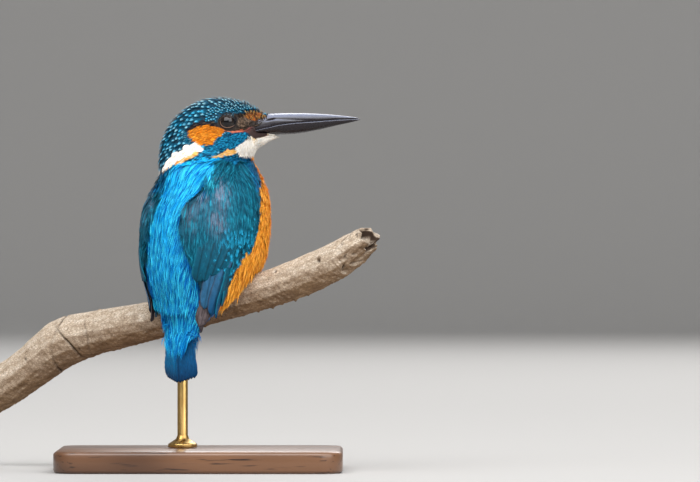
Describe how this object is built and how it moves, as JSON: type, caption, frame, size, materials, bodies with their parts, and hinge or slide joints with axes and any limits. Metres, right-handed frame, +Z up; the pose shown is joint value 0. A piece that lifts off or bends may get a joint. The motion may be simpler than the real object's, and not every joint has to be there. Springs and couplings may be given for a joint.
{
  "type": "common kingfisher model",
  "caption": "Life-size still model of a common kingfisher gripping a cut length of branch, head turned over its right shoulder, on a flat plate with a short rod.",
  "frame": {"origin": "middle of the display plate's underside, on the surface it stands on", "axes": "+Z up, +X the way the bill points, -Y the side that the bird's back and tail are on"},
  "size_m": [0.175, 0.0985, 0.1568],
  "materials": {
    "plumage": "overlapping feathers: spotted blue crown, azure back, teal wings, orange breast and white throat",
    "bill_horn": "dark satin horn",
    "eye": "wet dark brown",
    "leg_skin": "scaled orange-red skin",
    "bark": "weathered bare branch",
    "base_wood": "dark oiled wood",
    "rod_brass": "satin brass"
  },
  "bodies": {
    "root": {"head": "plumage", "neck": "plumage", "trunk": "plumage", "tail": "plumage", "wing_right": "plumage", "wing_left": "plumage", "primaries_right": "plumage", "primaries_left": "plumage", "bill_upper": "bill_horn", "bill_lower": "bill_horn", "claw_right_1": "bill_horn", "claw_right_2": "bill_horn", "claw_right_3": "bill_horn", "claw_right_4": "bill_horn", "claw_left_1": "bill_horn", "claw_left_2": "bill_horn", "claw_left_3": "bill_horn", "claw_left_4": "bill_horn", "eye_right": "eye", "eye_left": "eye", "leg_right": "leg_skin", "leg_left": "leg_skin", "perch_branch": "bark", "stand_base": "base_wood", "stand_rod": "rod_brass"}
  },
  "joints": []
}
